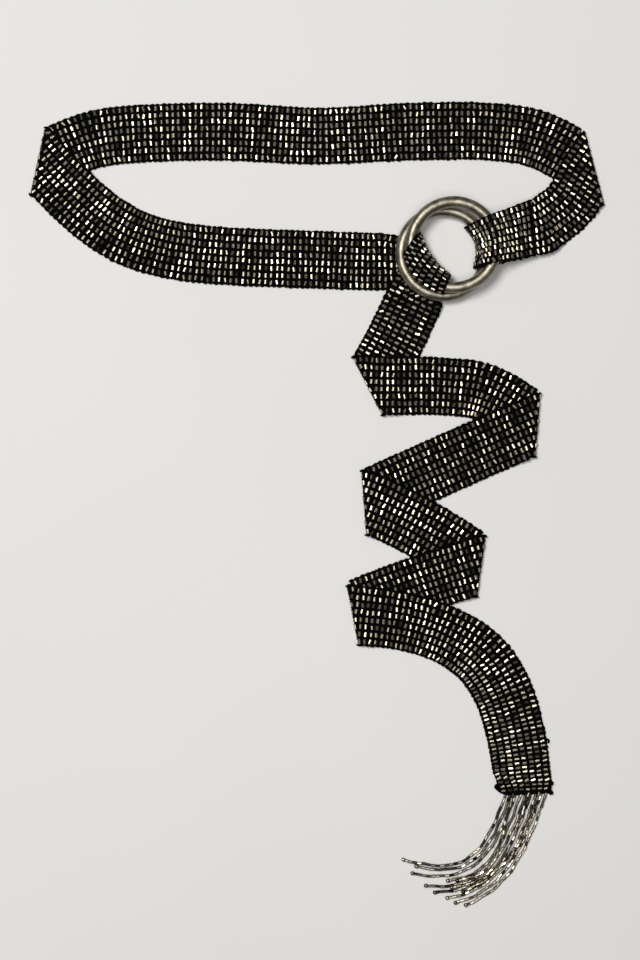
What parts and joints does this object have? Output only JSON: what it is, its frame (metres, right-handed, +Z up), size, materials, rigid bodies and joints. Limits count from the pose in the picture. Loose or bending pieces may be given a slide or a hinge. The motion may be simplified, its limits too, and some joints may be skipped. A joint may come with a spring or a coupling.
{
  "type": "beaded wrap belt",
  "caption": "Beaded strap belt laid in loose folds, wrapped through two wire rings, with a bound hem and a beaded fringe at its tail.",
  "frame": {"origin": "middle of the bounding box, on the surface that the belt lies on", "axes": "+Y up the page of the picture, from the fringe to the waist loop; +X to the right; +Z up from the surface"},
  "size_m": [0.3816, 0.5349, 0.0227],
  "materials": {
    "strap": "knitted black cord set with small gunmetal and pewter beads",
    "thread": "matt black thread",
    "fringe": "strands of small gunmetal and pewter beads",
    "metal": "worn antique pewter"
  },
  "bodies": {
    "root": {"end_loop": "strap", "right_run": "strap", "top_run": "strap", "lower_run": "strap", "ring_wrap": "strap", "tail_1": "strap", "tail_2": "strap", "tail_3": "strap", "tail_4": "strap", "tail_5": "strap", "tail_6": "strap", "hem_bar": "thread", "fringe": "fringe", "ring_upper": "metal", "ring_lower": "metal"}
  },
  "joints": []
}
